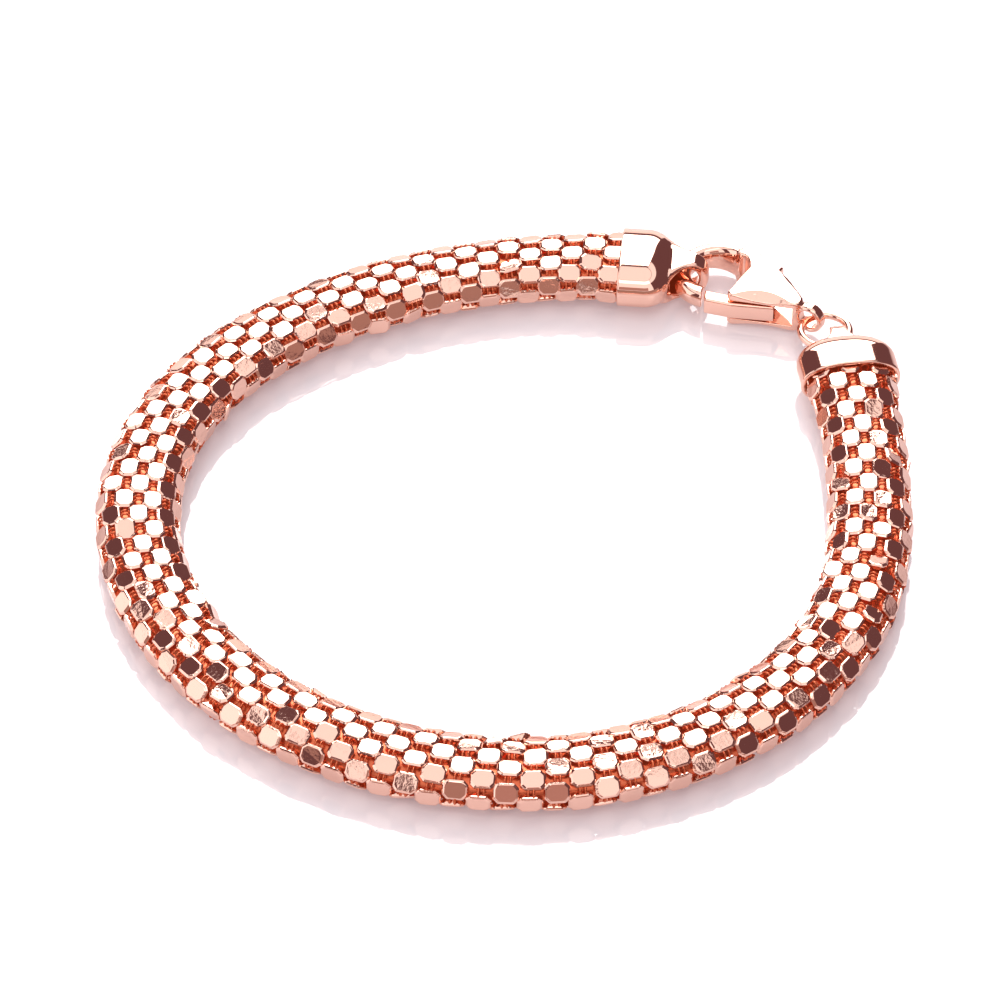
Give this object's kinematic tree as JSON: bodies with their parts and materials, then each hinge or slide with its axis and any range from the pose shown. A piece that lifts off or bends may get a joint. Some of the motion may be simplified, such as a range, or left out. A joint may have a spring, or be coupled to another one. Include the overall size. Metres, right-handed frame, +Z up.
{
  "type": "mesh bracelet",
  "caption": "Tubular rose-gold mesh bracelet lying closed in a round loop, with polished end caps, a jump ring and a trigger clasp hooked through a cap's eye.",
  "frame": {"origin": "on the surface that the bracelet lies on, under the middle of its outline", "axes": "+Z is up, away from that surface; +Y points to the side with the clasp; +X points to the jump ring's side"},
  "size_m": [0.0662, 0.068, 0.0044],
  "materials": {
    "rose_gold_mesh": "polished rose-gold plates linked into a fine mesh",
    "rose_gold": "mirror-polished rose gold",
    "rose_gold_trigger": "mirror-polished rose gold"
  },
  "bodies": {
    "bracelet": {"mesh_tube": "rose_gold_mesh", "hook_end_cap": "rose_gold", "ring_end_cap": "rose_gold", "jump_ring": "rose_gold", "clasp_body": "rose_gold", "trigger_pin": "rose_gold_trigger"},
    "trigger": {"clasp_trigger": "rose_gold_trigger"}
  },
  "joints": [
    {"name": "trigger_pivot", "type": "hinge", "parent": "bracelet", "child": "trigger", "pos_m": [0.02106, 0.02534, 0.00175], "axis": [0, 0, -1], "range_deg": [0, 24], "stiffness_Nm_per_rad": 0.002, "springref_deg": -5.73}
  ]
}
